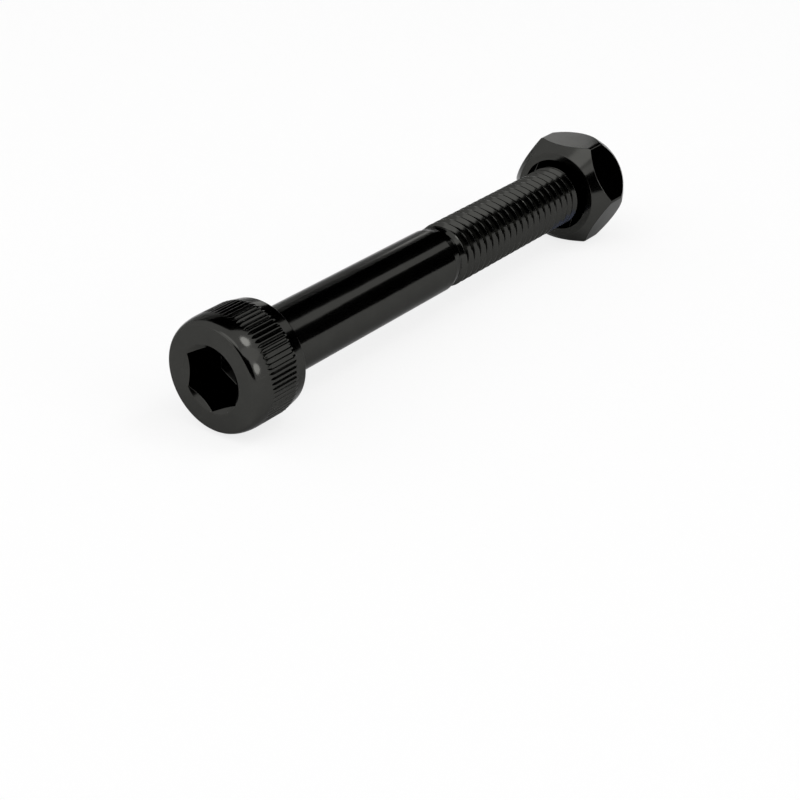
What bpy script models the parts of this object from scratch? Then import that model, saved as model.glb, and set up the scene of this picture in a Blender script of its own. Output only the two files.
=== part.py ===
"""Socket head cap screw, M6 x 50, with a nylon insert lock nut run on to its end.

The screw lies along +X on a level surface at z = 0, with its head at the -X end. It is built from the front
face of the head, and lengths along it are measured from there.
"""

import math

import bmesh
import bpy
from mathutils import Matrix, Vector

MM = 0.001

# Thread, shared by the screw and the nut
THREAD_DIAMETER = 6.0 * MM
THREAD_PITCH = 1.0 * MM
THREAD_LENGTH = 25.7 * MM
THREAD_CREST_FLAT = 0.125 * MM
THREAD_ROOT_FLAT = 0.17 * MM
THREAD_FLANK_ANGLE = math.radians(30)
THREAD_RUN_OUT = 0.9 * MM
THREAD_OFFSET = 0.11 * MM

# Screw head
HEAD_DIAMETER = 10.1 * MM
HEAD_HEIGHT = 6.0 * MM
HEAD_EDGE_LENGTH = 1.8 * MM
HEAD_EDGE_DROP = 0.6 * MM
HEAD_FILLET = 0.3 * MM
HEAD_BACK_LENGTH = 1.2 * MM
HEAD_BACK_TAPER = 0.27 * MM
KNURL_TEETH = 70
KNURL_DEPTH = 0.16 * MM
KNURL_GROOVE_SHARE = 0.7
KNURL_POINT_SHARE = 0.05
KNURL_LEAD = 0.2 * MM
KNURL_RAMP = 0.35 * MM
KNURL_STEP = 0.05 * MM

# Hexagon socket
SOCKET_ACROSS_FLATS = 5.05 * MM
SOCKET_DEPTH = 3.9 * MM
SOCKET_POINT = 0.8 * MM
SOCKET_CHAMFER_RIM = 0.06 * MM
SOCKET_CHAMFER_ANGLE = math.radians(60)
SOCKET_TURN = math.radians(1.7)

# Shank
SCREW_LENGTH = 50.0 * MM
NECK_LENGTH = 1.1 * MM
NECK_DEPTH = 0.14 * MM
NECK_LAND = 0.2 * MM
TIP_CHAMFER = 0.65 * MM

# Nut
NUT_ACROSS_FLATS = 9.9 * MM
NUT_HEIGHT = 5.8 * MM
NUT_OVERHANG = 0.2 * MM
NUT_CORNER_ROUND = 0.2 * MM
NUT_SEAT_STEP = 0.65 * MM
NUT_CHAMFER_ANGLE = math.radians(49)
NUT_MOUTH_CHAMFER = 0.5 * MM
NUT_BORE_CLEARANCE = 0.14 * MM
NUT_DOME_START = 1.5 * MM
NUT_DOME_MARGIN = 0.23 * MM
NUT_COLLAR_WALL = 0.47 * MM
NUT_LIP_ROUND = 0.25 * MM
NUT_LIP_WALL = 0.45 * MM

# Nylon insert
INSERT_LENGTH = 1.3 * MM
INSERT_WALL = 0.7 * MM
INSERT_CLEARANCE = 0.09 * MM
INSERT_EDGE = 0.1 * MM
INSERT_GAP = 0.1 * MM
LIP_COVER = 0.35 * MM

# Fineness of the round shapes
THREAD_STEPS = 22
NUT_STEPS = 60
INSERT_STEPS = 36
DOME_STEPS = 8
EDGE_STEPS = 4
MERGE = 0.001 * MM
CUT_MARGIN = 1.0 * MM
SHARP_ANGLE = math.radians(28)

# Derived sizes
THREAD_RADIUS = THREAD_DIAMETER / 2
THREAD_FLANK = (THREAD_PITCH - THREAD_CREST_FLAT - THREAD_ROOT_FLAT) / 2
ROOT_RADIUS = THREAD_RADIUS - THREAD_FLANK / math.tan(THREAD_FLANK_ANGLE)
NECK_RADIUS = THREAD_RADIUS - NECK_DEPTH
HEAD_RADIUS = HEAD_DIAMETER / 2
KNURL_START = HEAD_EDGE_LENGTH - KNURL_LEAD
KNURL_END = HEAD_HEIGHT - HEAD_BACK_LENGTH
TIP = HEAD_HEIGHT + SCREW_LENGTH
THREAD_START = TIP - THREAD_LENGTH
NUT_START = TIP + NUT_OVERHANG - NUT_HEIGHT
NUT_SEAT_RADIUS = NUT_ACROSS_FLATS / 2 - NUT_SEAT_STEP
NUT_DOME_RADIUS = NUT_ACROSS_FLATS / math.sqrt(3) + NUT_DOME_MARGIN
NUT_DOME_END = NUT_HEIGHT - NUT_LIP_ROUND
BORE_RADIUS = THREAD_RADIUS + NUT_BORE_CLEARANCE
INSERT_BORE_RADIUS = THREAD_RADIUS + INSERT_CLEARANCE
INSERT_RADIUS = INSERT_BORE_RADIUS + INSERT_WALL
INSERT_END = NUT_HEIGHT - NUT_LIP_WALL - INSERT_GAP
RECESS_RADIUS = INSERT_RADIUS + INSERT_GAP
COLLAR_RADIUS = RECESS_RADIUS + NUT_COLLAR_WALL
OVERALL_LENGTH = max(TIP, NUT_START + NUT_HEIGHT)
AXIS_HEIGHT = max(HEAD_RADIUS, NUT_ACROSS_FLATS / 2)
ORIGIN = Vector((-OVERALL_LENGTH / 2, 0.0, AXIS_HEIGHT))


def clear_scene():
    for item in list(bpy.data.objects):
        bpy.data.objects.remove(item, do_unlink=True)


def material(name, colour, roughness, metallic):
    made = bpy.data.materials.new(name)
    made.use_nodes = True
    shader = made.node_tree.nodes["Principled BSDF"]
    shader.inputs["Base Color"].default_value = (*colour, 1.0)
    shader.inputs["Roughness"].default_value = roughness
    shader.inputs["Metallic"].default_value = metallic
    return made


def add_object(name, bm, parent=None):
    """Turn the mesh into a named object with its faces pointing out."""
    bmesh.ops.recalc_face_normals(bm, faces=bm.faces)
    mesh = bpy.data.meshes.new(name)
    bm.to_mesh(mesh)
    bm.free()
    item = bpy.data.objects.new(name, mesh)
    item.parent = parent
    bpy.context.scene.collection.objects.link(item)
    return item


def add_empty(name, location, parent=None):
    empty = bpy.data.objects.new(name, None)
    empty.empty_display_size = THREAD_RADIUS
    empty.location = location
    empty.parent = parent
    bpy.context.scene.collection.objects.link(empty)
    return empty


def apply_cut(item, bm, operation="DIFFERENCE"):
    """Cut the object with a solid, keep the result and remove the cutter."""
    cutter = add_object(item.name + "_cutter", bm, item.parent)
    cutter.hide_render = True
    cutter.display_type = "WIRE"
    boolean = item.modifiers.new("cut", "BOOLEAN")
    boolean.operation = operation
    boolean.object = cutter
    bpy.context.view_layer.update()
    evaluated = item.evaluated_get(bpy.context.evaluated_depsgraph_get())
    item.data = bpy.data.meshes.new_from_object(evaluated)
    item.modifiers.clear()
    bpy.data.objects.remove(cutter, do_unlink=True)


def finish(item, surface):
    item.data.materials.clear()
    item.data.materials.append(surface)
    item.data.shade_smooth()
    item.data.set_sharp_from_angle(angle=SHARP_ANGLE)


def quarter_ellipse(start, end, bulge_along, steps=EDGE_STEPS):
    """Points of a quarter ellipse between two (x, radius) points, without the first.

    The curve leaves along the radius, or along the axis if bulge_along is true.
    """
    points = []
    for step in range(1, steps + 1):
        angle = math.pi / 2 * step / steps
        slow, fast = 1 - math.cos(angle), math.sin(angle)
        along, across = (fast, slow) if bulge_along else (slow, fast)
        points.append((start[0] + (end[0] - start[0]) * along, start[1] + (end[1] - start[1]) * across))
    return points


def turn(bm, outline, steps, closed=False):
    """Turn an outline of (x, radius) points a full circle round the X axis, from +Z."""
    verts = [bm.verts.new((x, 0.0, radius)) for x, radius in outline]
    edges = [bm.edges.new(pair) for pair in zip(verts, verts[1:])]
    if closed:
        edges.append(bm.edges.new((verts[-1], verts[0])))
    bmesh.ops.spin(
        bm, geom=verts + edges, cent=(0, 0, 0), axis=(1, 0, 0), angle=math.tau, steps=steps, use_merge=True
    )
    bmesh.ops.remove_doubles(bm, verts=bm.verts, dist=MERGE)


def extrude_outline(bm, outline, start, length):
    """Extrude a flat outline of (y, z) points along +X and return the far end's face."""
    near = bm.faces.new([bm.verts.new((start, y, z)) for y, z in outline])
    grown = bmesh.ops.extrude_face_region(bm, geom=[near])["geom"]
    far = [item for item in grown if isinstance(item, bmesh.types.BMFace)][0]
    bmesh.ops.translate(bm, verts=far.verts, vec=(length, 0, 0))
    return far


def hexagon(across_flats, first_corner):
    """Corners as (y, z), the first one turned from +Z about the X axis."""
    radius = across_flats / math.sqrt(3)
    angles = [first_corner + math.pi / 3 * corner for corner in range(6)]
    return [(-radius * math.sin(angle), radius * math.cos(angle)) for angle in angles]


# Screw


def screw_outline():
    """Turned outline of the head and shank, from the centre of the front face to the neck."""
    face_radius = HEAD_RADIUS - HEAD_EDGE_DROP
    outline = [(0.0, 0.0), (0.0, face_radius)]
    outline += quarter_ellipse((0.0, face_radius), (HEAD_EDGE_LENGTH, HEAD_RADIUS), bulge_along=False)
    outline += [(KNURL_END, HEAD_RADIUS), (KNURL_END, HEAD_RADIUS - KNURL_STEP)]
    outline += [(HEAD_HEIGHT, HEAD_RADIUS - HEAD_BACK_TAPER), (HEAD_HEIGHT, THREAD_RADIUS + HEAD_FILLET)]
    fillet_start = (HEAD_HEIGHT, THREAD_RADIUS + HEAD_FILLET)
    outline += quarter_ellipse(fillet_start, (HEAD_HEIGHT + HEAD_FILLET, THREAD_RADIUS), bulge_along=False)
    outline += [(THREAD_START - NECK_LENGTH, THREAD_RADIUS), (THREAD_START - NECK_LAND, NECK_RADIUS)]
    return outline


def thread_outline():
    """One side of the whole thread as (x, radius), from a pitch before its start to a pitch past the tip."""
    outline = []
    first = math.floor(THREAD_START / THREAD_PITCH) - 1
    last = math.ceil(TIP / THREAD_PITCH) + 1
    for turn_number in range(first, last + 1):
        root_end = THREAD_OFFSET + turn_number * THREAD_PITCH + THREAD_ROOT_FLAT / 2
        outline.append((root_end - THREAD_ROOT_FLAT, ROOT_RADIUS))
        outline.append((root_end, ROOT_RADIUS))
        outline.append((root_end + THREAD_FLANK, THREAD_RADIUS))
        outline.append((root_end + THREAD_FLANK + THREAD_CREST_FLAT, THREAD_RADIUS))
    return outline


def thread_limit(x, radius):
    """Radius after the run-out at the neck and the chamfer at the tip."""
    rise = min(max((x - THREAD_START) / THREAD_RUN_OUT, 0.0), 1.0)
    faded = NECK_RADIUS + (radius - NECK_RADIUS) * rise
    chamfer = THREAD_RADIUS - max(x - (TIP - TIP_CHAMFER), 0.0)
    return min(faded, chamfer)


def loop_at(bm, x):
    boundary = [edge for edge in bm.edges if edge.is_boundary]
    return [edge for edge in boundary if all(abs(vert.co.x - x) < MERGE for vert in edge.verts)]


def add_thread(bm):
    """Sweep the whole thread outline one turn while it advances one pitch, then trim both ends."""
    verts = [bm.verts.new((x, 0.0, radius)) for x, radius in thread_outline()]
    edges = [bm.edges.new(pair) for pair in zip(verts, verts[1:])]
    bmesh.ops.spin(
        bm,
        geom=verts + edges,
        cent=(0, 0, 0),
        axis=(1, 0, 0),
        dvec=(THREAD_PITCH / THREAD_STEPS, 0, 0),
        angle=math.tau,
        steps=THREAD_STEPS,
    )
    bmesh.ops.remove_doubles(bm, verts=bm.verts, dist=MERGE)
    for vert in bm.verts:
        radius = math.hypot(vert.co.y, vert.co.z)
        scale = thread_limit(vert.co.x, radius) / radius
        vert.co.y *= scale
        vert.co.z *= scale
    for x, side in ((THREAD_START, -1), (TIP, 1)):
        bmesh.ops.bisect_plane(
            bm,
            geom=bm.verts[:] + bm.edges[:] + bm.faces[:],
            dist=MERGE,
            plane_co=(x, 0, 0),
            plane_no=(side, 0, 0),
            clear_outer=True,
        )


def groove_cutter():
    """One V groove for each knurl tooth, rising to nothing at its front end."""
    bm = bmesh.new()
    step = math.tau / KNURL_TEETH
    surface = HEAD_RADIUS * math.cos(step / 2)
    outside = HEAD_RADIUS + CUT_MARGIN
    full_width = HEAD_RADIUS * step * KNURL_GROOVE_SHARE / 2
    for tooth in range(KNURL_TEETH):
        spin = Matrix.Rotation(step * (tooth + 0.5), 3, "X")
        sections = []
        for x, share in ((KNURL_START, 0.0), (KNURL_START + KNURL_RAMP, 1.0), (KNURL_END, 1.0)):
            bottom = surface - KNURL_DEPTH * share
            width = full_width * max(share, KNURL_POINT_SHARE)
            rim = [(width, surface), (width, outside), (-width, outside), (-width, surface)]
            sections.append([bm.verts.new(spin @ Vector((x, y, z))) for y, z in [(0.0, bottom)] + rim])
        for near, far in zip(sections, sections[1:]):
            for side in range(len(near)):
                after = (side + 1) % len(near)
                bm.faces.new((near[side], near[after], far[after], far[side]))
        bm.faces.new(sections[0])
        bm.faces.new(sections[-1][::-1])
    return bm


def socket_cutter():
    """Hexagon with a shallow point at its bottom."""
    bm = bmesh.new()
    outline = hexagon(SOCKET_ACROSS_FLATS, SOCKET_TURN)
    bottom = extrude_outline(bm, outline, -CUT_MARGIN, CUT_MARGIN + SOCKET_DEPTH)
    point = bmesh.ops.poke(bm, faces=[bottom])["verts"][0]
    point.co.x += SOCKET_POINT
    return bm


def socket_chamfer_cutter():
    """Cone that breaks the edge of the socket, with its rim just outside the hexagon's corners."""
    bm = bmesh.new()
    rim = SOCKET_ACROSS_FLATS / math.sqrt(3) + SOCKET_CHAMFER_RIM
    spread = math.tan(SOCKET_CHAMFER_ANGLE)
    cone = [(-CUT_MARGIN, 0.0), (-CUT_MARGIN, rim + CUT_MARGIN * spread), (rim / spread, 0.0)]
    turn(bm, cone, KNURL_TEETH)
    return bm


def make_screw(root, steel):
    bm = bmesh.new()
    add_thread(bm)
    bmesh.ops.contextual_create(bm, geom=loop_at(bm, TIP))
    turn(bm, screw_outline(), KNURL_TEETH)
    bmesh.ops.bridge_loops(bm, edges=loop_at(bm, THREAD_START - NECK_LAND) + loop_at(bm, THREAD_START))
    screw = add_object("screw", bm, root)
    apply_cut(screw, groove_cutter())
    apply_cut(screw, socket_cutter())
    apply_cut(screw, socket_chamfer_cutter())
    finish(screw, steel)


# Nut


def dome_radius(x):
    """Outer radius of the nut's dome: an ellipse from outside the hexagon's corners in to the collar."""
    narrowing = math.sqrt(1 - (COLLAR_RADIUS / NUT_DOME_RADIUS) ** 2)
    reach = (NUT_DOME_END - NUT_DOME_START) / narrowing
    return NUT_DOME_RADIUS * math.sqrt(1 - ((x - NUT_DOME_START) / reach) ** 2)


def nut_outline():
    """Closed turned outline of the nut: mouth, seat, chamfer, dome, rolled lip, insert recess and bore."""
    chamfer_end = (NUT_DOME_RADIUS - NUT_SEAT_RADIUS) * math.tan(NUT_CHAMFER_ANGLE)
    outline = [(0.0, BORE_RADIUS + NUT_MOUTH_CHAMFER), (0.0, NUT_SEAT_RADIUS)]
    outline.append((chamfer_end, NUT_DOME_RADIUS))
    for step in range(1, DOME_STEPS + 1):
        x = chamfer_end + (NUT_DOME_END - chamfer_end) * step / DOME_STEPS
        outline.append((x, dome_radius(x)))
    lip_start = (NUT_DOME_END, COLLAR_RADIUS)
    outline += quarter_ellipse(lip_start, (NUT_HEIGHT, COLLAR_RADIUS - NUT_LIP_ROUND), bulge_along=True)
    recess_end = INSERT_END + INSERT_GAP
    recess_start = INSERT_END - INSERT_LENGTH - INSERT_GAP
    lip_radius = RECESS_RADIUS - LIP_COVER
    outline += [(NUT_HEIGHT, lip_radius), (recess_end, lip_radius), (recess_end, RECESS_RADIUS)]
    outline += [(recess_start, RECESS_RADIUS), (recess_start, BORE_RADIUS), (NUT_MOUTH_CHAMFER, BORE_RADIUS)]
    return outline


def make_nut(parent, steel):
    bm = bmesh.new()
    turn(bm, nut_outline(), NUT_STEPS, closed=True)
    nut = add_object("nut", bm, parent)
    prism = bmesh.new()
    flats_up = hexagon(NUT_ACROSS_FLATS, math.pi / 6)
    extrude_outline(prism, flats_up, -CUT_MARGIN, NUT_HEIGHT + 2 * CUT_MARGIN)
    corners = [edge for edge in prism.edges if abs(edge.verts[0].co.x - edge.verts[1].co.x) > CUT_MARGIN]
    bmesh.ops.bevel(prism, geom=corners, offset=NUT_CORNER_ROUND, segments=2, profile=0.5, affect="EDGES")
    apply_cut(nut, prism, "INTERSECT")
    finish(nut, steel)


# Nylon insert


def make_insert(parent, nylon):
    start, end = INSERT_END - INSERT_LENGTH, INSERT_END
    inner, outer = INSERT_BORE_RADIUS, INSERT_RADIUS
    outline = [(start, inner + INSERT_EDGE), (start, outer), (end, outer), (end, inner + INSERT_EDGE)]
    outline += [(end - INSERT_EDGE, inner), (start + INSERT_EDGE, inner)]
    bm = bmesh.new()
    turn(bm, outline, INSERT_STEPS, closed=True)
    insert = add_object("nylon_insert", bm, parent)
    finish(insert, nylon)


def main():
    clear_scene()
    steel = material("black_oxide_steel", (0.05, 0.05, 0.052), 0.25, 1.0)
    nylon = material("blue_nylon", (0.02, 0.06, 0.35), 0.4, 0.0)
    root = add_empty("deck_screw", ORIGIN)
    make_screw(root, steel)
    nut_axis = add_empty("nut_axis", (NUT_START, 0, 0), root)
    make_insert(nut_axis, nylon)
    make_nut(nut_axis, steel)


main()
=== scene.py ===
"""Socket head cap screw with its nylon insert lock nut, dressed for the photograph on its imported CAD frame.

Outlines are lists of (x, radius): x runs along the screw from the front face of its head, and the radius is
taken from the screw's axis. Angles round the axis start at +Z and turn towards -Y.
"""

import math

import bmesh
import bpy
from bpy.props import FloatProperty, FloatVectorProperty, IntProperty, PointerProperty
from mathutils import Matrix, Vector


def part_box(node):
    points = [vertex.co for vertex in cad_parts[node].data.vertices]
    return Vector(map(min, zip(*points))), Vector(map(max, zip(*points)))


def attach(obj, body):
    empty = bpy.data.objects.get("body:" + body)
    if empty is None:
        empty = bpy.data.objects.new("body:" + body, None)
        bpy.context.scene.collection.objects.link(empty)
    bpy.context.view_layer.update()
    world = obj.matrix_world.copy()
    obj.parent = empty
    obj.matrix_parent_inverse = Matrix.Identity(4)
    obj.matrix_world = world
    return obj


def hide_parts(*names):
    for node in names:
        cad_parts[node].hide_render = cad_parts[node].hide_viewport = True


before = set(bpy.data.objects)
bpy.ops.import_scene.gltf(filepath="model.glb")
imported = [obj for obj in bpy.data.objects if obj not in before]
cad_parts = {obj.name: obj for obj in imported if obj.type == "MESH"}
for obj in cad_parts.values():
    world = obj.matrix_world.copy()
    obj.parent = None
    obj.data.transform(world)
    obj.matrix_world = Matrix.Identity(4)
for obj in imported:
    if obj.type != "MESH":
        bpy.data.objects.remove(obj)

bl_info = {
    "name": "Cap Screw and Lock Nut",
    "version": (1, 0, 0),
    "blender": (4, 5, 0),
    "location": "3D View > Sidebar > Cap Screw",
    "description": "Makes a black socket head cap screw with a nylon insert lock nut",
    "category": "Add Mesh",
}

MM = 0.001
MERGE = 0.0005 * MM
SHARP_ANGLE = math.radians(40)
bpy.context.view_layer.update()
HEAD_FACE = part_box("screw")[0].x
NUT_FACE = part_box("nut")[0].x
AXIS_HEIGHT = (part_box("nylon_insert")[0].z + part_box("nylon_insert")[1].z) / 2

# Steps of the meshes: round the axis, of each thread's turn, of a side and a corner of the hexagon, along the
# dome, and along the knurl's ramp. The front edge has a row at each of these degrees of its quarter ellipse.
ROUND_STEPS = 144
SCREW_THREAD_STEPS = 96
NUT_THREAD_STEPS = 72
FLAT_STEPS, CORNER_STEPS = 24, 6
DOME_STEPS = 16
RAMP_STEPS = 8
FRONT_EDGE_DEGREES = range(6, 80, 6)
# A knurl tooth takes 12 columns of the head. The socket's first corner is 4 columns from straight up.
TOOTH_COLUMNS = 12
SOCKET_COLUMNS = 4
# The tip's rounded edge, in shares of the edge rounding: how far before the tip, and how far inside the
# chamfer's end
TIP_EDGE = ((0.3, 0.1), (0.0, 0.7))
# How far the nut's thread opens where it ends at the recess
RECESS_CHAMFER = 0.1 * MM
# Middle and reach of the thread-lock film: the last turns before the nut, low on the camera's side, in the
# shade there. The film's blue stain is real, but its dark colour is painted shade.
FILM_MIDDLE = (21.4 * MM, -2.3 * MM, 2.7 * MM)
FILM_REACH = (3.6 * MM, 1.4 * MM, 1.5 * MM)
# Sockets of a Mix node for colours. They go by number, because its kinds share their names.
MIX_A, MIX_B, MIX_RESULT = 6, 7, 2

# The camera, fitted to the object's outline in the photograph, and half the floor's width in metres
CAMERA_LENS = 73.29
CAMERA_PLACE = (-109.593 * MM, -80.590 * MM, 64.589 * MM)
CAMERA_TURN = (61.637, 0.0, -52.797)
FLOOR_REACH = 4.0
# Softboxes, where the metal in the photograph mirrors something bright: azimuth and elevation in degrees,
# distance, width and height in metres, and how bright the front looks, where 1 is white
LAMPS = (
    ("high_lamp", 37, 60, 0.8, 0.27, 0.25, 4.4),
    ("low_lamp", 5, 17, 0.8, 0.32, 0.26, 3.6),
    ("wide_lamp", 355, 42, 0.82, 1.10, 0.45, 0.4),
    ("left_lamp", 278, 60, 0.8, 0.60, 0.32, 1.0),
    ("side_lamp", 253, 34, 0.8, 0.44, 0.30, 0.65),
    ("rear_lamp", 121, 20, 0.58, 0.17, 0.14, 1.9),
)
# Cards, where it mirrors something dark or grey: middle, distance in metres, colour and outline. The middle
# and the outline are azimuths and elevations in degrees.
CARDS = (
    (
        "front_card",
        (60, 14),
        0.6,
        "#050505",
        [(36, 0), (36, 22), (41, 30), (50, 34), (57, 34), (64, 30), (70, 23), (78, 18), (88, 20), (90, 0)],
    ),
    (
        "black_card",
        (105, 32),
        0.6,
        "#050505",
        [(73.5, 46), (79, 54), (86, 62), (92, 68), (110, 78), (150, 74), (165, 60), (165, 38), (140, 37)]
        + [(126, 36), (119, 33), (118, 0), (90, 0), (88, 24), (84, 30), (76, 38)],
    ),
    ("light_card", (143, 12), 0.62, "#E8E8E8", [(118, 0), (118, 23), (166, 23), (166, 0)]),
    ("grey_card", (143, 30), 0.62, "#A8A8A8", [(117, 23), (117, 38), (166, 40), (166, 23)]),
    (
        "near_card",
        (300, 16),
        0.6,
        "#101010",
        [(270, 0), (270, 12), (272, 32), (284, 42), (298, 40), (310, 37), (330, 37), (344, 34), (344, 0)],
    ),
)


def linear(hex_colour):
    """Linear red, green and blue of an sRGB hex colour."""
    parts = [int(hex_colour[place : place + 2], 16) / 255 for place in (1, 3, 5)]
    return tuple(part / 12.92 if part <= 0.04045 else ((part + 0.055) / 1.055) ** 2.4 for part in parts)


def length(name, millimetres, description):
    return FloatProperty(
        name=name, description=description, default=millimetres * MM, unit="LENGTH", precision=5
    )


def angle(name, degrees, description):
    return FloatProperty(name=name, description=description, default=math.radians(degrees), unit="ROTATION")


def colour(name, hex_colour, description):
    return FloatVectorProperty(
        name=name, description=description, default=linear(hex_colour), subtype="COLOR"
    )


def share(name, default, description):
    return FloatProperty(
        name=name, description=description, default=default, min=0.0, max=1.0, subtype="FACTOR"
    )


class ThreadSizes(bpy.types.PropertyGroup):
    diameter: length("Diameter", 6.0, "Outer diameter of the thread, and of the plain shank")
    pitch: length("Pitch", 1.0, "Distance that the nut moves in one turn")
    length: length("Length", 25.7, "Threaded length, up to the tip")
    crest_flat: length("Crest", 0.125, "Width of the flat on each crest")
    root_flat: length("Root", 0.17, "Width of the flat between two flanks")
    flank_angle: angle("Flank angle", 30.0, "Angle between a flank and the plane across the screw")
    crest_round: length("Crest rounding", 0.02, "Rounding that rolling leaves on the crests")
    root_round: length("Root rounding", 0.14, "Rounding of the rolled roots")
    run_out: length("Run-out", 0.45, "Length over which the first turn grows to its full depth")
    offset: length("Offset", 0.11, "Where along the screw a root passes its top, past each whole pitch")


class ScrewSizes(bpy.types.PropertyGroup):
    head_diameter: length("Head diameter", 10.1, "Diameter over the knurl's crests")
    head_height: length("Head height", 6.0, "Length of the head")
    edge_length: length("Front edge length", 1.8, "How far the front edge's round reaches along the head")
    edge_drop: length("Front edge drop", 0.6, "How far the front edge's round reaches in over the face")
    edge_round: length("Edge rounding", 0.07, "Rounding of the small edges")
    fillet: length("Fillet", 0.3, "Fillet between the head and the shank")
    back_length: length("Back band", 1.2, "Length of the smooth band behind the knurl")
    back_taper: length("Back taper", 0.27, "How much the back band narrows towards the shank")
    back_round: length("Back rounding", 0.16, "Rounding of the head's back edge")
    knurl_teeth: IntProperty(
        name="Knurl teeth", description="Number of teeth round the head", default=70, min=12
    )
    knurl_depth: length("Knurl depth", 0.075, "Depth of the grooves between the teeth")
    knurl_start: length("Knurl start", 1.5, "Where the grooves begin on the front edge")
    knurl_ramp: length("Knurl ramp", 0.6, "Length over which the grooves grow to their full depth")
    knurl_step: length("Knurl step", 0.07, "How far the back band lies below the teeth")
    knurl_chamfer: length("Knurl chamfer", 0.2, "Length over which the teeth slope down to the back band")
    groove_share: share("Groove share", 0.74, "Part of a tooth's width that the groove takes")
    socket_width: length("Socket", 5.05, "Width of the hexagon socket across its flats")
    socket_depth: length("Socket depth", 3.9, "Depth of the socket's walls")
    socket_point: length("Socket point", 0.8, "Depth of the hollow in the socket's floor")
    socket_round: length("Socket rounding", 0.1, "Rounding in the socket's corners")
    socket_rim: length("Socket rim", 0.06, "How far the rim's chamfer clears the socket's corners")
    socket_chamfer: angle("Socket chamfer", 60.0, "Angle of the rim's chamfer to the axis")
    shank_length: length("Length under the head", 50.0, "From the back of the head to the tip")
    neck_length: length("Neck", 1.1, "Length of the sloping neck before the thread")
    neck_depth: length("Neck depth", 0.2, "How much the neck narrows")
    neck_land: length("Neck land", 0.2, "Plain length between the neck's slope and the thread")
    tip_chamfer: length("Tip chamfer", 0.65, "Size of the chamfer at the tip")


class NutSizes(bpy.types.PropertyGroup):
    width: length("Width", 9.9, "Width of the hexagon across its flats")
    height: length("Height", 5.8, "Height of the nut with its collar")
    corner_round: length("Corner rounding", 0.38, "Rounding of the six corners")
    edge_round: length("Edge rounding", 0.09, "Rounding of the edges round the flats")
    seat_step: length("Seat step", 0.65, "How far the bearing face ends inside the flats")
    chamfer_angle: angle("Chamfer angle", 49.0, "Angle of the chamfer to the bearing face")
    mouth: length("Mouth", 0.64, "How far the countersink opens past the thread")
    thread_play: length("Thread play", 0.03, "Room between the nut's thread and the screw's")
    dome_start: length("Dome start", 1.5, "Where the dome is widest")
    dome_margin: length("Dome margin", 0.23, "How far the dome clears the corners at its widest")
    collar_wall: length("Collar wall", 0.75, "Thickness of the collar round the ring")
    lip_round: length("Lip rounding", 0.28, "Outer rounding of the collar's rolled lip")
    lip_wall: length("Lip wall", 0.45, "Thickness of the rolled lip")
    lip_cover: length("Lip cover", 0.35, "How far the lip covers the ring")


class RingSizes(bpy.types.PropertyGroup):
    length: length("Length", 1.3, "Length of the ring along the screw")
    wall: length("Wall", 0.7, "Thickness of the ring")
    clearance: length("Clearance", 0.09, "Room between the ring and the thread")
    gap: length("Gap", 0.1, "Room between the ring and the nut")
    edge_round: length("Edge rounding", 0.12, "Rounding of the ring's edges")


class Finishes(bpy.types.PropertyGroup):
    steel: colour("Steel", "#3B3B39", "Black oxide steel seen straight on")
    steel_edge: share("Steel edge", 0.55, "Part of its usual gloss that the steel keeps when seen edge on")
    steel_roughness: share("Steel roughness", 0.12, "How far the steel blurs what it mirrors")
    dust: colour("Dust", "#77776F", "Specks of dust and handling on the steel")
    # The thread lock's blue is a real stain, but its dark colour is painted shade: the blue as it looks in
    # the shade under the thread
    shaded_residue: colour("Thread lock with painted shade", "#222A40", "Dried thread-locking compound")
    nylon: colour("Nylon", "#2A4C9B", "Colour of the locking ring")
    floor: colour("Floor", "#FFFFFF", "Paper that the screw lies on")
    floor_white: share("Floor white", 0.8, "Part of the floor's white that is its own, for the camera")
    mirrored_white: share("Mirrored white", 0.15, "The same part, where the steel mirrors the floor")


# Mesh tools


def rounded(corners, steps=3):
    """Points of an outline of (x, radius, rounding) corners, each rounded one drawn as an arc."""
    points = []
    for index, (x, radius, rounding) in enumerate(corners):
        here = Vector((x, radius))
        if rounding == 0:
            points.append(tuple(here))
            continue
        back = Vector(corners[index - 1][:2]) - here
        ahead = Vector(corners[(index + 1) % len(corners)][:2]) - here
        reach = rounding / math.tan(back.angle(ahead) / 2)
        reach = min(reach, 0.45 * back.length, 0.45 * ahead.length)
        start, end = here + back.normalized() * reach, here + ahead.normalized() * reach
        for step in range(steps + 1):
            part = step / steps
            points.append(tuple(start.lerp(here, part).lerp(here.lerp(end, part), part)))
    return points


def quarter_ellipse(start, end, bulge_along, steps):
    """Points of a quarter ellipse between two points, without the first. It leaves along x if bulge_along."""
    points = []
    for step in range(1, steps + 1):
        swept = math.pi / 2 * step / steps
        slow, fast = 1 - math.cos(swept), math.sin(swept)
        along, across = (fast, slow) if bulge_along else (slow, fast)
        points.append((start[0] + (end[0] - start[0]) * along, start[1] + (end[1] - start[1]) * across))
    return points


def hexagon_radius(turned_by, half_width, rounding):
    """Radius of a hexagon with rounded corners, at an angle from the middle of a flat."""
    sixth = math.pi / 6
    off = abs((turned_by + sixth) % (2 * sixth) - sixth)
    centre = (half_width - rounding) / math.cos(sixth)
    if off <= math.atan2(centre * math.sin(sixth), half_width):
        return half_width / math.cos(off)
    away = sixth - off
    return centre * math.cos(away) + math.sqrt(rounding**2 - (centre * math.sin(away)) ** 2)


def skin(bm, angles, outlines):
    """Grid of faces over outlines of (x, radius), one at each angle round the axis."""
    columns = []
    for turned_by, outline in zip(angles, outlines):
        side, up = -math.sin(turned_by), math.cos(turned_by)
        columns.append([bm.verts.new((x, radius * side, radius * up)) for x, radius in outline])
    for near, far in zip(columns, columns[1:] + columns[:1]):
        for place in range(len(near) - 1):
            bm.faces.new((near[place], near[place + 1], far[place + 1], far[place]))


def turned(bm, outline, steps, closed=False):
    """The same outline at every angle round the axis."""
    if closed:
        outline = outline + outline[:1]
    skin(bm, [math.tau * step / steps for step in range(steps)], [outline] * steps)


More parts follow.
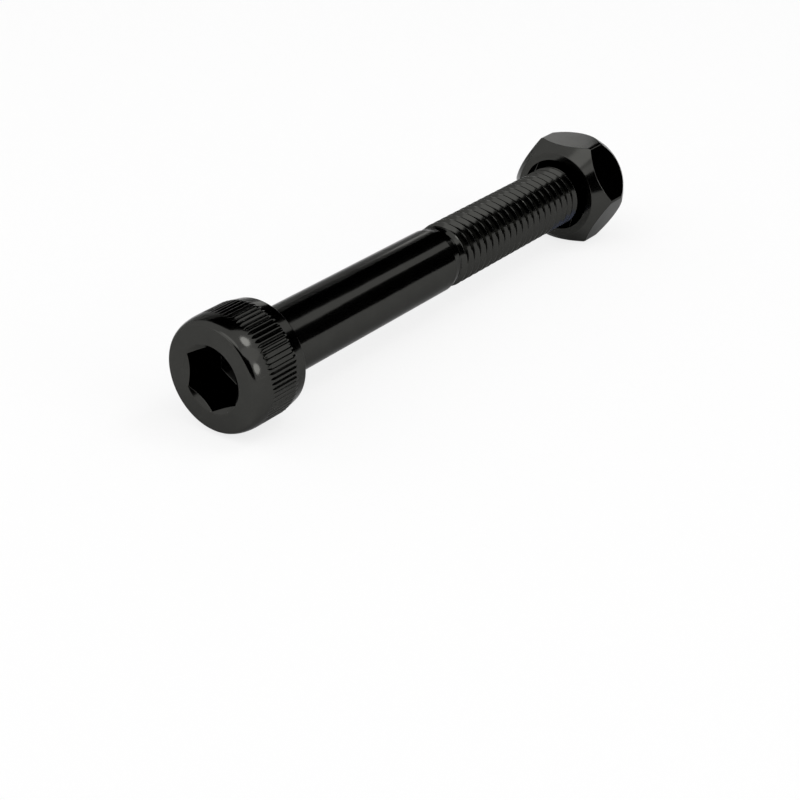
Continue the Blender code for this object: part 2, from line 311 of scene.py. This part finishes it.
def loop_at(bm, x):
    """Open edges that lie in the plane at x."""
    boundary = [edge for edge in bm.edges if edge.is_boundary]
    return [edge for edge in boundary if all(abs(vert.co.x - x) < MERGE for vert in edge.verts)]


def helix(bm, outline, pitch, limit, start, end, steps):
    """Sweep the outline of a whole thread one turn while it advances one pitch, then trim its two ends."""
    verts = [bm.verts.new((x, 0.0, radius)) for x, radius in outline]
    edges = [bm.edges.new(pair) for pair in zip(verts, verts[1:])]
    bmesh.ops.spin(
        bm,
        geom=verts + edges,
        cent=(0, 0, 0),
        axis=(1, 0, 0),
        dvec=(pitch / steps, 0, 0),
        angle=math.tau,
        steps=steps,
    )
    bmesh.ops.remove_doubles(bm, verts=bm.verts, dist=MERGE)
    for vert in bm.verts:
        radius = math.hypot(vert.co.y, vert.co.z)
        scale = limit(vert.co.x, radius) / radius
        vert.co.y *= scale
        vert.co.z *= scale
    for x, side in ((start, -1), (end, 1)):
        bmesh.ops.bisect_plane(
            bm,
            geom=bm.verts[:] + bm.edges[:] + bm.faces[:],
            dist=MERGE,
            plane_co=(x, 0, 0),
            plane_no=(side, 0, 0),
            clear_outer=True,
        )


def piece(name, bm, origin, surface):
    """Turn the mesh into a closed, smooth object in the row frame, with its flat faces kept flat."""
    bmesh.ops.remove_doubles(bm, verts=bm.verts, dist=MERGE)
    bmesh.ops.recalc_face_normals(bm, faces=bm.faces)
    bmesh.ops.translate(bm, verts=bm.verts, vec=origin)
    mesh = bpy.data.meshes.new(name)
    bm.to_mesh(mesh)
    bm.free()
    mesh.materials.append(surface)
    mesh.shade_smooth()
    mesh.set_sharp_from_angle(angle=SHARP_ANGLE)
    # The modifier passes over faces this small, so it gets the mesh in millimetres
    mesh.transform(Matrix.Scale(1 / MM, 4))
    made = bpy.data.objects.new(name, mesh)
    bpy.context.scene.collection.objects.link(made)
    weighted = made.modifiers.new("flat faces stay flat", "WEIGHTED_NORMAL")
    weighted.keep_sharp = True
    bpy.context.view_layer.update()
    graph = bpy.context.evaluated_depsgraph_get()
    made.data = bpy.data.meshes.new_from_object(
        made.evaluated_get(graph), preserve_all_data_layers=True, depsgraph=graph
    )
    made.data.transform(Matrix.Scale(MM, 4))
    made.modifiers.clear()
    return made


# Materials


def node(tree, kind, inputs=None, **settings):
    """Add a node with its settings, and link or set each of its inputs."""
    made = tree.nodes.new(kind)
    for name, value in settings.items():
        setattr(made, name, value)
    for name, value in (inputs or {}).items():
        if isinstance(value, bpy.types.NodeSocket):
            tree.links.new(value, made.inputs[name])
        else:
            made.inputs[name].default_value = value
    return made


def new_material(name):
    """A material with its node tree and its main shader."""
    made = bpy.data.materials.new(name)
    made.use_nodes = True
    return made, made.node_tree, made.node_tree.nodes["Principled BSDF"]


def black_oxide_steel(name, seed, film_place=None, film_size=None):
    """Steel, cold formed from drawn wire and blackened in a hot salt bath, then oiled.

    The oxide is a dark skin a micron thick that keeps the metal's gloss, less so edge on. Faint lines run
    along the wire, the surface swells a little where it was squeezed, and handling leaves a few light specks.
    With a film_place, a thin blue film of dried thread-locking compound lies there, in a dark colour that
    holds painted shade.
    """
    finishes = bpy.context.scene.finishes
    made, tree, shader = new_material(name)
    place = node(tree, "ShaderNodeTexCoord").outputs["Object"]
    # Swellings about 4 mm apart and up to 0.04 mm high, which bend the edges of what the shank mirrors
    swell = node(
        tree,
        "ShaderNodeTexNoise",
        {"Vector": place, "W": seed, "Scale": 1 / (4 * MM), "Detail": 1.0, "Roughness": 0.4},
        noise_dimensions="4D",
    )
    # Lines of the wire drawing, about 0.15 mm apart and 6 mm long
    stretched = node(
        tree,
        "ShaderNodeMapping",
        {"Vector": place, "Scale": (1 / (6 * MM), 1 / (0.15 * MM), 1 / (0.15 * MM))},
    )
    lines = node(
        tree,
        "ShaderNodeTexNoise",
        {"Vector": stretched.outputs["Vector"], "W": seed, "Scale": 1.0, "Detail": 2.0},
        noise_dimensions="4D",
    )
    # Crystals of the oxide bath, drawn 0.06 mm wide where the real ones are a few microns
    grain = node(
        tree,
        "ShaderNodeTexNoise",
        {"Vector": place, "W": seed + 3.0, "Scale": 1 / (0.06 * MM), "Detail": 3.0},
        noise_dimensions="4D",
    )
    wave = node(
        tree,
        "ShaderNodeBump",
        {"Height": swell.outputs["Fac"], "Strength": 1.0, "Distance": 0.04 * MM},
    )
    drawn = node(
        tree,
        "ShaderNodeBump",
        {
            "Height": lines.outputs["Fac"],
            "Strength": 1.0,
            "Distance": 0.0012 * MM,
            "Normal": wave.outputs["Normal"],
        },
    )
    fine = node(
        tree,
        "ShaderNodeBump",
        {
            "Height": grain.outputs["Fac"],
            "Strength": 1.0,
            "Distance": 0.0008 * MM,
            "Normal": drawn.outputs["Normal"],
        },
    )
    tree.links.new(fine.outputs["Normal"], shader.inputs["Normal"])
    # Specks of dust and handling, about 0.1 mm across and some 2 mm apart
    speck = node(
        tree,
        "ShaderNodeTexVoronoi",
        {"Vector": place, "Scale": 1 / (2.2 * MM), "Randomness": 1.0},
        feature="F1",
    )
    speck_mask = node(
        tree,
        "ShaderNodeMapRange",
        {
            "Value": speck.outputs["Distance"],
            "From Min": 0.02,
            "From Max": 0.04,
            "To Min": 1.0,
            "To Max": 0.0,
        },
    )
    # The oxide is a little uneven: patches about 1.5 mm wide are up to a seventh lighter or darker, and the
    # lighter ones are rougher
    patches = node(
        tree,
        "ShaderNodeTexNoise",
        {"Vector": place, "W": seed + 7.0, "Scale": 1 / (1.5 * MM), "Detail": 4.0, "Roughness": 0.6},
        noise_dimensions="4D",
    )
    tone = node(
        tree,
        "ShaderNodeMix",
        {
            "Factor": patches.outputs["Fac"],
            MIX_A: (*[part * 0.86 for part in finishes.steel], 1.0),
            MIX_B: (*[part * 1.14 for part in finishes.steel], 1.0),
        },
        data_type="RGBA",
    )
    dusty = node(
        tree,
        "ShaderNodeMix",
        {
            "Factor": speck_mask.outputs["Result"],
            MIX_A: tone.outputs[MIX_RESULT],
            MIX_B: (*finishes.dust, 1.0),
        },
        data_type="RGBA",
    )
    rough = node(
        tree,
        "ShaderNodeMapRange",
        {
            "Value": patches.outputs["Fac"],
            "From Min": 0.3,
            "From Max": 0.7,
            "To Min": finishes.steel_roughness * 0.9,
            "To Max": finishes.steel_roughness * 1.15,
        },
    )
    shader.inputs["Metallic"].default_value = 1.0
    shader.inputs["Specular Tint"].default_value = (*[finishes.steel_edge] * 3, 1.0)
    tree.links.new(dusty.outputs[MIX_RESULT], shader.inputs["Base Color"])
    tree.links.new(rough.outputs["Result"], shader.inputs["Roughness"])
    if film_place is None:
        return made
    # The film, a real stain whose dark colour is painted shade, fades out over a ragged edge about 0.4 mm
    # wide
    spread = node(
        tree,
        "ShaderNodeMapping",
        {"Vector": place, "Location": film_place, "Scale": film_size},
        vector_type="TEXTURE",
    )
    reach = node(tree, "ShaderNodeVectorMath", {0: spread.outputs["Vector"]}, operation="LENGTH")
    ragged = node(
        tree,
        "ShaderNodeTexNoise",
        {"Vector": place, "W": seed + 9.0, "Scale": 1 / (0.8 * MM), "Detail": 3.0},
        noise_dimensions="4D",
    )
    edge = node(
        tree,
        "ShaderNodeMath",
        {0: reach.outputs["Value"], 1: ragged.outputs["Fac"]},
        operation="ADD",
    )
    film = node(
        tree,
        "ShaderNodeMapRange",
        {"Value": edge.outputs[0], "From Min": 1.15, "From Max": 1.6, "To Min": 0.85, "To Max": 0.0},
    )
    # Base colour with the film's blue, darkened with painted shade
    stain_and_shade_colour = node(
        tree,
        "ShaderNodeMix",
        {
            "Factor": film.outputs["Result"],
            MIX_A: dusty.outputs[MIX_RESULT],
            MIX_B: (*finishes.shaded_residue, 1.0),
        },
        data_type="RGBA",
    )
    metal = node(tree, "ShaderNodeMath", {0: 1.0, 1: film.outputs["Result"]}, operation="SUBTRACT")
    tree.links.new(stain_and_shade_colour.outputs[MIX_RESULT], shader.inputs["Base Color"])
    tree.links.new(metal.outputs[0], shader.inputs["Metallic"])
    return made


def polyamide(name):
    """PA66, injection moulded and dyed through. Satin, with a little light inside, so its edges look soft."""
    finishes = bpy.context.scene.finishes
    made, tree, shader = new_material(name)
    place = node(tree, "ShaderNodeTexCoord").outputs["Object"]
    # Flow marks of the moulding, about 0.5 mm wide
    flow = node(
        tree,
        "ShaderNodeTexNoise",
        {"Vector": place, "Scale": 1 / (0.5 * MM), "Detail": 4.0, "Distortion": 0.6},
    )
    tone = node(
        tree,
        "ShaderNodeMix",
        {
            "Factor": flow.outputs["Fac"],
            MIX_A: (*[part * 0.85 for part in finishes.nylon], 1.0),
            MIX_B: (*[part * 1.15 for part in finishes.nylon], 1.0),
        },
        data_type="RGBA",
    )
    bump = node(
        tree, "ShaderNodeBump", {"Height": flow.outputs["Fac"], "Strength": 1.0, "Distance": 0.01 * MM}
    )
    tree.links.new(tone.outputs[MIX_RESULT], shader.inputs["Base Color"])
    tree.links.new(bump.outputs["Normal"], shader.inputs["Normal"])
    shader.inputs["Roughness"].default_value = 0.42
    shader.inputs["IOR"].default_value = 1.53
    shader.inputs["Subsurface Weight"].default_value = 0.15
    shader.inputs["Subsurface Scale"].default_value = 0.4 * MM
    return made


# Screw


def head_outline(sizes, turned_by):
    """Head from the middle of the socket's floor, over its rim, face and knurl, to the underside."""
    radius = sizes.head_diameter / 2
    edge = sizes.edge_round
    corner = SOCKET_COLUMNS * math.tau / (TOOTH_COLUMNS * sizes.knurl_teeth)
    wall = hexagon_radius(turned_by - corner - math.pi / 6, sizes.socket_width / 2, sizes.socket_round)
    rim = sizes.socket_width / math.sqrt(3) + sizes.socket_rim
    chamfer_end = (rim - wall) / math.tan(sizes.socket_chamfer)
    face = radius - sizes.edge_drop
    outline = rounded(
        [
            (sizes.socket_depth + sizes.socket_point, 0.0, 0),
            (sizes.socket_depth, wall, sizes.socket_round),
            (chamfer_end, wall, edge),
            (0.0, rim, edge),
            (0.0, face, 0),
        ]
    )
    reach = sizes.edge_length
    rows = [reach * (1 - math.cos(math.radians(degrees))) for degrees in FRONT_EDGE_DEGREES]
    rows += [sizes.knurl_start + sizes.knurl_ramp * step / RAMP_STEPS for step in range(RAMP_STEPS + 2)]
    knurl_end = sizes.head_height - sizes.back_length
    rows += [knurl_end - sizes.knurl_chamfer - edge, knurl_end - sizes.knurl_chamfer, knurl_end]
    tooth = (turned_by * sizes.knurl_teeth / math.tau) % 1.0
    for x in rows:
        surface = face + sizes.edge_drop * math.sqrt(1 - (max(reach - x, 0.0) / reach) ** 2)
        grown = min(max((x - sizes.knurl_start) / sizes.knurl_ramp, 0.0), 1.0)
        slope = sizes.knurl_depth / (sizes.groove_share / 2)
        groove = max(sizes.knurl_depth * math.sin(grown * math.pi / 2) - abs(tooth - 0.5) * slope, 0.0)
        outline.append((x, surface - groove))
    band = radius - sizes.knurl_step
    outline[-1] = (knurl_end, min(outline[-1][1], band))
    outline += rounded(
        [
            (knurl_end, band, 0),
            (knurl_end + edge, band, 0),
            (sizes.head_height, radius - sizes.back_taper, sizes.back_round),
            (sizes.head_height, radius - 2 * sizes.back_taper, 0),
        ]
    )
    return outline


def shank_outline(sizes, thread):
    """Fillet under the head, plain shank and neck, up to the thread."""
    radius = thread.diameter / 2
    foot = sizes.head_height
    tip = foot + sizes.shank_length
    neck = radius - sizes.neck_depth
    thread_start = tip - thread.length
    outline = [(foot, radius + sizes.fillet + sizes.edge_round), (foot, radius + sizes.fillet)]
    outline += quarter_ellipse((foot, radius + sizes.fillet), (foot + sizes.fillet, radius), False, 8)
    return outline + rounded(
        [
            (foot + 2 * sizes.fillet, radius, 0),
            (thread_start - sizes.neck_length, radius, 2 * sizes.edge_round),
            (thread_start - sizes.neck_land, neck, 2 * sizes.edge_round),
            (thread_start - sizes.neck_land / 2, neck, 0),
        ]
    )


def thread_corners(thread, first, last):
    """Corners of a rolled thread's outline from one numbered root to another."""
    flank = (thread.pitch - thread.crest_flat - thread.root_flat) / 2
    crest = thread.diameter / 2
    root = crest - flank / math.tan(thread.flank_angle)
    corners = []
    for number in range(first, last + 1):
        root_end = thread.offset + number * thread.pitch + thread.root_flat / 2
        corners.append((root_end - thread.root_flat, root, thread.root_round))
        corners.append((root_end, root, thread.root_round))
        corners.append((root_end + flank, crest, thread.crest_round))
        corners.append((root_end + flank + thread.crest_flat, crest, thread.crest_round))
    return corners


class DECKSCREW_OT_screw(bpy.types.Operator):
    """Make the cap screw: knurled head with its socket, plain shank and rolled thread"""

    bl_idname = "deckscrew.screw"
    bl_label = "Make screw"

    def execute(self, context):
        sizes, thread = context.scene.screw_sizes, context.scene.thread_sizes
        radius = thread.diameter / 2
        tip = sizes.head_height + sizes.shank_length
        start = tip - thread.length
        neck = radius - sizes.neck_depth
        edge = sizes.edge_round

        def limit(x, at):
            """The first turn grows out of the neck, and the last ones are chamfered."""
            grown = min(max((x - start) / thread.run_out, 0.0), 1.0)
            return min(neck + (at - neck) * grown, radius - max(x - (tip - sizes.tip_chamfer), 0.0))

        bm = bmesh.new()
        first, last = math.floor(start / thread.pitch) - 1, math.ceil(tip / thread.pitch) + 1
        outline = rounded(thread_corners(thread, first, last), steps=2)[2:-3]
        helix(bm, outline, thread.pitch, limit, start, tip - edge, SCREW_THREAD_STEPS)
        rim = loop_at(bm, tip - edge)
        for before, inside in TIP_EDGE:
            grown = bmesh.ops.extrude_edge_only(bm, edges=rim)["geom"]
            rim = [item for item in grown if isinstance(item, bmesh.types.BMEdge)]
            at = radius - sizes.tip_chamfer - edge * inside
            for vert in {vert for rim_edge in rim for vert in rim_edge.verts}:
                scale = at / math.hypot(vert.co.y, vert.co.z)
                vert.co = (tip - edge * before, vert.co.y * scale, vert.co.z * scale)
        bmesh.ops.contextual_create(bm, geom=loop_at(bm, tip))
        turned(bm, shank_outline(sizes, thread), ROUND_STEPS)
        bmesh.ops.bridge_loops(bm, edges=loop_at(bm, start - sizes.neck_land / 2) + loop_at(bm, start))
        columns = TOOTH_COLUMNS * sizes.knurl_teeth
        angles = [math.tau * column / columns for column in range(columns)]
        skin(bm, angles, [head_outline(sizes, turned_by) for turned_by in angles])
        bmesh.ops.bridge_loops(bm, edges=loop_at(bm, sizes.head_height))
        # The screw's steel carries the thread-lock film, a real stain whose dark blue is painted shade
        steel = black_oxide_steel("black_oxide_steel_screw", 1.0, FILM_MIDDLE, FILM_REACH)
        screw = piece("fine_screw", bm, (HEAD_FACE, 0, AXIS_HEIGHT), steel)
        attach(screw, "screw")
        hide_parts("screw")
        return {"FINISHED"}


# Nut


def nut_outline(sizes, thread, ring, hexagon):
    """Nut from its countersink over the seat, a side of the hexagon, the dome and the lip to the recess."""
    edge = sizes.edge_round
    corner_radius = sizes.width / math.sqrt(3)
    widest = corner_radius + sizes.dome_margin
    seat = sizes.width / 2 - sizes.seat_step
    ring_radius = thread.diameter / 2 + ring.clearance + ring.wall
    recess = ring_radius + ring.gap
    collar = recess + sizes.collar_wall
    dome_end = sizes.height - sizes.lip_round
    reach = (dome_end - sizes.dome_start) / math.sqrt(1 - (collar / widest) ** 2)
    mouth = thread.diameter / 2 + sizes.mouth
    side_start = (hexagon - seat) * math.tan(sizes.chamfer_angle)
    side_end = sizes.dome_start + reach * math.sqrt(1 - (hexagon / widest) ** 2)
    turn_start, turn_end = math.acos(hexagon / widest), math.acos(collar / widest)
    dome = []
    for step in range(1, DOME_STEPS + 1):
        turned_to = turn_start + (turn_end - turn_start) * step / DOME_STEPS
        dome.append((sizes.dome_start + reach * math.sin(turned_to), widest * math.cos(turned_to), 0))
    recess_end = sizes.height - sizes.lip_wall
    recess_start = recess_end - 2 * ring.gap - ring.length
    lip = recess - sizes.lip_cover
    corners = [
        (0.0, mouth + edge, 0),
        (0.0, seat, edge),
        (side_start, hexagon, edge),
        ((side_start + side_end) / 2, hexagon, 0),
        (side_end, hexagon, edge),
    ]
    corners += dome
    lip_edge = quarter_ellipse(dome[-1][:2], (sizes.height, collar - sizes.lip_round), True, 6)
    corners += [(x, at, 0) for x, at in lip_edge]
    corners += [
        (sizes.height, lip, edge),
        (recess_end, lip, edge),
        (recess_end, recess, edge),
        (recess_start, recess, edge),
        (recess_start, mouth - edge, 0),
    ]
    return rounded(corners)


class DECKSCREW_OT_nut(bpy.types.Operator):
    """Make the lock nut's steel body: chamfered hexagon, domed collar with its lip, and inner thread"""

    bl_idname = "deckscrew.nut"
    bl_label = "Make nut"

    def execute(self, context):
        sizes, thread, ring = context.scene.nut_sizes, context.scene.thread_sizes, context.scene.ring_sizes
        play = sizes.thread_play
        radius = thread.diameter / 2 + play
        mouth = thread.diameter / 2 + sizes.mouth
        recess_start = sizes.height - sizes.lip_wall - 2 * ring.gap - ring.length

        def limit(x, at):
            """The thread ends in a countersink at the mouth and in a smaller one at the recess."""
            return max(at, mouth - max(x, 0.0), radius + RECESS_CHAMFER - max(recess_start - x, 0.0))

        # The screw's outline, moved out by the play, is the nut's
        bm = bmesh.new()
        shift = HEAD_FACE - NUT_FACE
        first = math.floor(-shift / thread.pitch) - 2
        last = math.ceil((recess_start - shift) / thread.pitch) + 1
        corners = [
            (x + shift, at + play * 2, rounding) for x, at, rounding in thread_corners(thread, first, last)
        ]
        outline = rounded(corners, steps=2)[2:-3]
        helix(bm, outline, thread.pitch, limit, 0.0, recess_start, NUT_THREAD_STEPS)
        sixth = math.pi / 6
        half = sizes.width / 2
        centre = (half - sizes.corner_round) / math.cos(sixth)
        flat_end = math.atan2(centre * math.sin(sixth), half)
        angles = []
        for side in range(6):
            middle = 2 * sixth * side
            angles += [middle + flat_end * (2 * step / FLAT_STEPS - 1) for step in range(FLAT_STEPS + 1)]
            span = 2 * (sixth - flat_end)
            angles += [middle + flat_end + span * step / CORNER_STEPS for step in range(1, CORNER_STEPS)]
        radii = [hexagon_radius(turned_by, half, sizes.corner_round) for turned_by in angles]
        skin(bm, angles, [nut_outline(sizes, thread, ring, at) for at in radii])
        bmesh.ops.bridge_loops(bm, edges=loop_at(bm, 0.0))
        bmesh.ops.bridge_loops(bm, edges=loop_at(bm, recess_start))
        steel = black_oxide_steel("black_oxide_steel_nut", 5.0)
        nut = piece("fine_nut", bm, (NUT_FACE, 0, AXIS_HEIGHT), steel)
        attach(nut, "nut")
        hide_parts("nut")
        return {"FINISHED"}


# Locking ring


class DECKSCREW_OT_ring(bpy.types.Operator):
    """Make the nylon ring that grips the thread inside the nut's collar"""

    bl_idname = "deckscrew.ring"
    bl_label = "Make locking ring"

    def execute(self, context):
        nut, thread, sizes = context.scene.nut_sizes, context.scene.thread_sizes, context.scene.ring_sizes
        inner = thread.diameter / 2 + sizes.clearance
        outer = inner + sizes.wall
        end = nut.height - nut.lip_wall - sizes.gap
        start = end - sizes.length
        edge = sizes.edge_round
        outline = rounded(
            [(start, inner, edge), (start, outer, edge), (end, outer, edge), (end, inner, 2 * edge)],
            steps=5,
        )
        bm = bmesh.new()
        turned(bm, outline, ROUND_STEPS, closed=True)
        ring = piece("fine_ring", bm, (NUT_FACE, 0, AXIS_HEIGHT), polyamide("pa66_moulded_blue"))
        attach(ring, "insert")
        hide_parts("nylon_insert")
        return {"FINISHED"}


# Stage


def direction(azimuth, elevation):
    """Unit vector to a place in the studio, with azimuth 0 at -Y and 90 at +X, in degrees."""
    a, e = math.radians(azimuth), math.radians(elevation)
    return Vector((math.sin(a) * math.cos(e), -math.cos(a) * math.cos(e), math.sin(e)))


def add_card(name, middle, distance, hex_colour, outline):
    """Curved card round the screw that its metal mirrors and the camera doesn't see."""
    bm = bmesh.new()
    middle = bm.verts.new(direction(*middle) * distance)
    rim = [bm.verts.new(direction(azimuth, elevation) * distance) for azimuth, elevation in outline]
    for near, far in zip(rim, rim[1:] + rim[:1]):
        bm.faces.new((middle, near, far))
    mesh = bpy.data.meshes.new(name)
    bm.to_mesh(mesh)
    bm.free()
    made, tree, shader = new_material(name)
    shader.inputs["Base Color"].default_value = (*linear(hex_colour), 1.0)
    shader.inputs["Roughness"].default_value = 1.0
    shader.inputs["Specular IOR Level"].default_value = 0.0
    mesh.materials.append(made)
    card = bpy.data.objects.new(name, mesh)
    card.visible_camera = False
    bpy.context.scene.collection.objects.link(card)


def add_lamp(name, azimuth, elevation, distance, width, height, radiance):
    """Softbox that faces the screw. Its power is pi times its area times how bright its front looks."""
    lamp = bpy.data.lights.new(name, "AREA")
    lamp.shape = "ELLIPSE"
    lamp.size, lamp.size_y = width, height
    area = math.pi / 4 * width * height
    lamp.energy = radiance * math.pi * area
    holder = bpy.data.objects.new(name, lamp)
    away = direction(azimuth, elevation)
    holder.location = away * distance
    holder.rotation_euler = away.to_track_quat("Z", "Y").to_euler()
    bpy.context.scene.collection.objects.link(holder)


class DECKSCREW_OT_stage(bpy.types.Operator):
    """Make the floor, the studio light and the camera"""

    bl_idname = "deckscrew.stage"
    bl_label = "Make stage"

    def execute(self, context):
        scene = context.scene
        scene.view_settings.view_transform = "Standard"

        camera_data = bpy.data.cameras.new("camera")
        camera_data.lens = CAMERA_LENS
        camera_data.clip_start = 1 * MM
        camera = bpy.data.objects.new("camera", camera_data)
        camera.location = CAMERA_PLACE
        camera.rotation_euler = [math.radians(degrees) for degrees in CAMERA_TURN]
        scene.collection.objects.link(camera)
        scene.camera = camera

        bm = bmesh.new()
        bmesh.ops.create_grid(bm, x_segments=1, y_segments=1, size=FLOOR_REACH)
        mesh = bpy.data.meshes.new("paper_floor")
        bm.to_mesh(mesh)
        bm.free()
        # Matt white paper. Where the camera looks, most of its white is its own, so that the screw's shadow
        # stays faint. The metal mirrors more of the shadow, as real paper would give it.
        paper, tree, shader = new_material("matt_white_paper")
        shader.inputs["Base Color"].default_value = (*scene.finishes.floor, 1.0)
        shader.inputs["Roughness"].default_value = 1.0
        shader.inputs["Specular IOR Level"].default_value = 0.0
        rays = node(tree, "ShaderNodeLightPath")
        mirrored = node(
            tree,
            "ShaderNodeMath",
            {0: rays.outputs["Is Glossy Ray"], 1: rays.outputs["Is Transmission Ray"]},
            operation="MAXIMUM",
        )
        mirrored_part = node(
            tree,
            "ShaderNodeMath",
            {0: mirrored.outputs[0], 1: scene.finishes.mirrored_white},
            operation="MULTIPLY",
        )
        part = node(
            tree,
            "ShaderNodeMath",
            {0: rays.outputs["Is Camera Ray"], 1: scene.finishes.floor_white, 2: mirrored_part.outputs[0]},
            operation="MULTIPLY_ADD",
        )
        white = node(tree, "ShaderNodeEmission", {"Color": (*scene.finishes.floor, 1.0), "Strength": 1.0})
        mixed = node(
            tree,
            "ShaderNodeMixShader",
            {0: part.outputs[0], 1: shader.outputs["BSDF"], 2: white.outputs["Emission"]},
        )
        tree.links.new(mixed.outputs["Shader"], tree.nodes["Material Output"].inputs["Surface"])
        mesh.materials.append(paper)
        floor = bpy.data.objects.new("paper_floor", mesh)
        scene.collection.objects.link(floor)

        world = bpy.data.worlds.new("white_studio")
        world.use_nodes = True
        world.node_tree.nodes["Background"].inputs["Color"].default_value = (*linear("#FFFFFF"), 1.0)
        world.node_tree.nodes["Background"].inputs["Strength"].default_value = 1.0
        scene.world = world

        for lamp in LAMPS:
            add_lamp(*lamp)
        for card in CARDS:
            add_card(*card)
        return {"FINISHED"}


class DECKSCREW_PT_panel(bpy.types.Panel):
    """Sizes, finishes and makers of the screw's pieces"""

    bl_idname = "DECKSCREW_PT_panel"
    bl_label = "Cap Screw"
    bl_space_type = "VIEW_3D"
    bl_region_type = "UI"
    bl_category = "Cap Screw"

    def draw(self, context):
        for group, operator in PANEL_ROWS:
            box = self.layout.box()
            settings = getattr(context.scene, group)
            for name in settings.__annotations__:
                box.prop(settings, name)
            if operator:
                box.operator(operator)


GROUPS = {
    "thread_sizes": ThreadSizes,
    "screw_sizes": ScrewSizes,
    "nut_sizes": NutSizes,
    "ring_sizes": RingSizes,
    "finishes": Finishes,
}
OPERATORS = (DECKSCREW_OT_screw, DECKSCREW_OT_nut, DECKSCREW_OT_ring, DECKSCREW_OT_stage)
PANEL_ROWS = (
    ("thread_sizes", ""),
    ("screw_sizes", "deckscrew.screw"),
    ("nut_sizes", "deckscrew.nut"),
    ("ring_sizes", "deckscrew.ring"),
    ("finishes", "deckscrew.stage"),
)


def register():
    for name, group in GROUPS.items():
        bpy.utils.register_class(group)
        setattr(bpy.types.Scene, name, PointerProperty(type=group))
    for made in (*OPERATORS, DECKSCREW_PT_panel):
        bpy.utils.register_class(made)


def unregister():
    for made in reversed((*OPERATORS, DECKSCREW_PT_panel)):
        bpy.utils.unregister_class(made)
    for name, group in GROUPS.items():
        delattr(bpy.types.Scene, name)
        bpy.utils.unregister_class(group)


def main():
    register()
    bpy.ops.deckscrew.screw()
    bpy.ops.deckscrew.nut()
    bpy.ops.deckscrew.ring()
    bpy.ops.deckscrew.stage()


if __name__ == "__main__":
    main()
